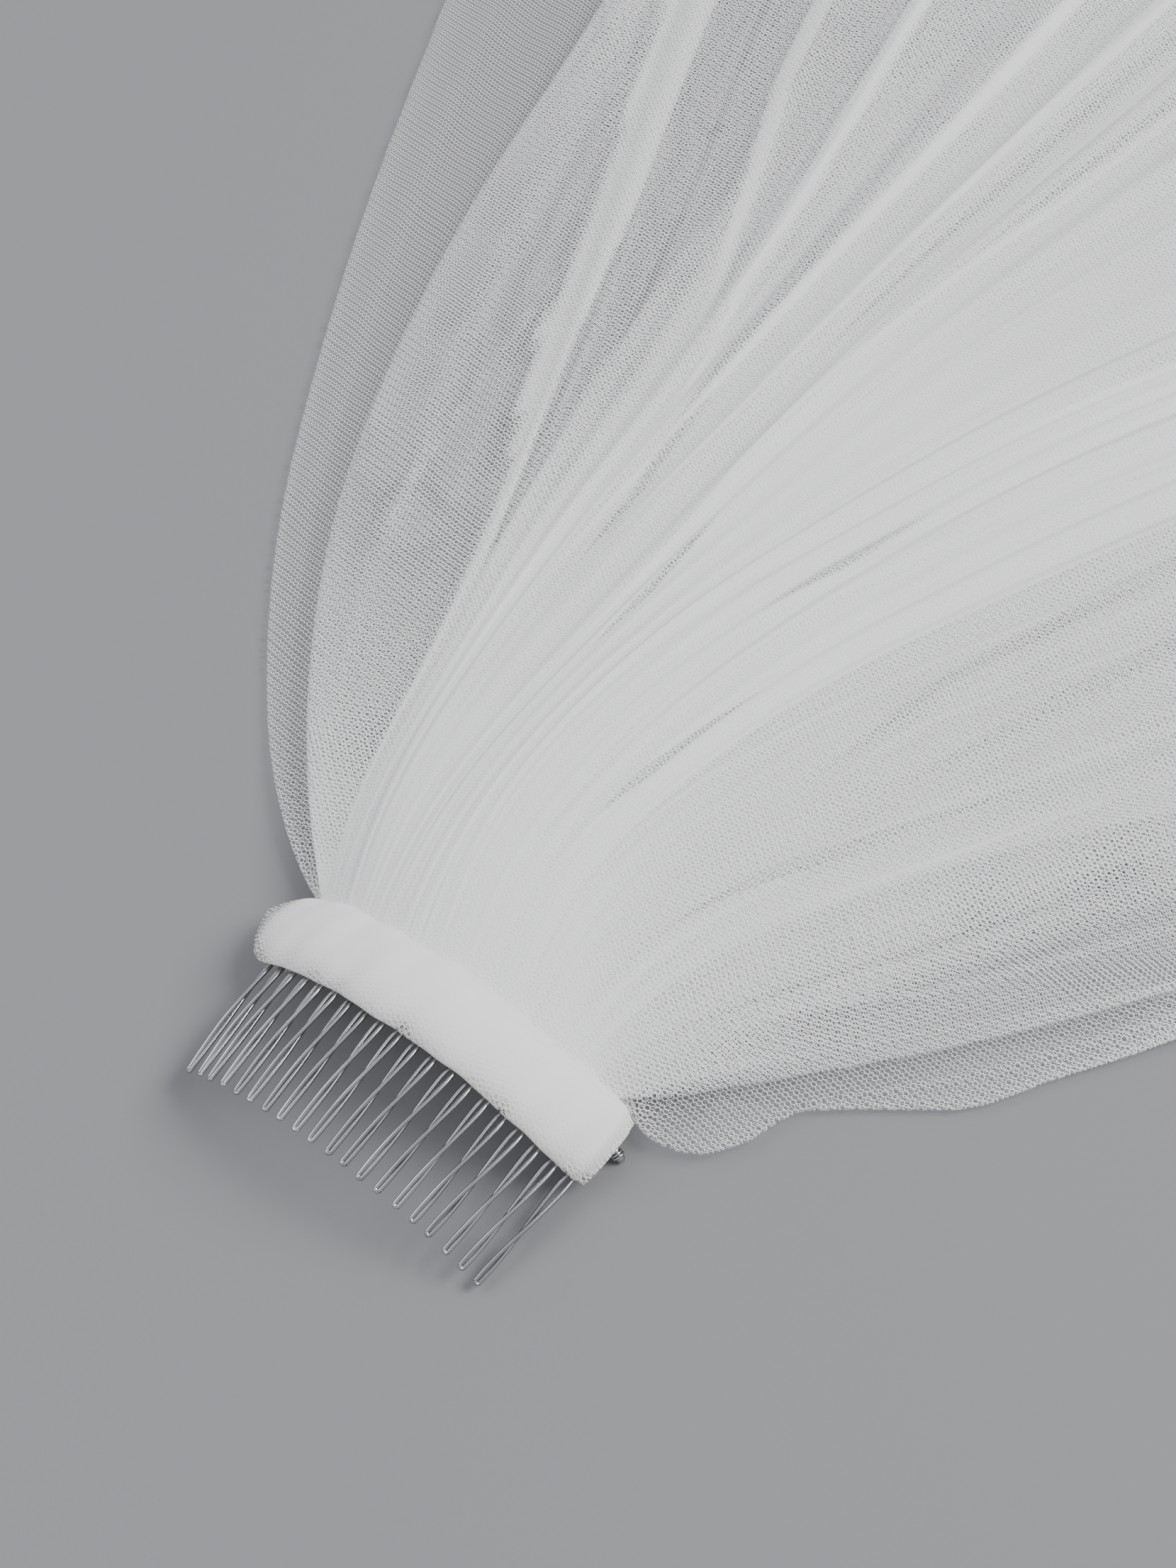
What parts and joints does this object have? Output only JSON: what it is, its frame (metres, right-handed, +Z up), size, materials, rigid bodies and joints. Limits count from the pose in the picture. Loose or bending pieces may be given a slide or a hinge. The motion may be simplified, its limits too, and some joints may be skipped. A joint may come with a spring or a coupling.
{
  "type": "bridal veil",
  "caption": "Two-tier bridal veil of plain soft tulle gathered onto a bowed wire hair comb, laid out on a surface.",
  "frame": {"origin": "middle of the footprint, on the surface that the veil lies on", "axes": "+Z up from the surface; X along the comb; -Y the way the comb's teeth point, +Y the way the veil runs out from the comb"},
  "size_m": [0.7778, 0.7888, 0.0219],
  "materials": {
    "silver_wire": "polished",
    "band_tulle": "matte",
    "veil_tulle": "matte, sheer net"
  },
  "bodies": {
    "root": {"comb_spine": "silver_wire", "comb_tooth_01": "silver_wire", "comb_tooth_02": "silver_wire", "comb_tooth_03": "silver_wire", "comb_tooth_04": "silver_wire", "comb_tooth_05": "silver_wire", "comb_tooth_06": "silver_wire", "comb_tooth_07": "silver_wire", "comb_tooth_08": "silver_wire", "comb_tooth_09": "silver_wire", "comb_tooth_10": "silver_wire", "comb_tooth_11": "silver_wire", "comb_tooth_12": "silver_wire", "comb_tooth_13": "silver_wire", "comb_tooth_14": "silver_wire", "comb_tooth_15": "silver_wire", "comb_tooth_16": "silver_wire", "comb_tooth_17": "silver_wire", "comb_tooth_18": "silver_wire", "comb_tooth_19": "silver_wire", "comb_tooth_20": "silver_wire", "binding_band": "band_tulle", "veil_lower_tier": "veil_tulle", "veil_upper_tier": "veil_tulle"}
  },
  "joints": []
}
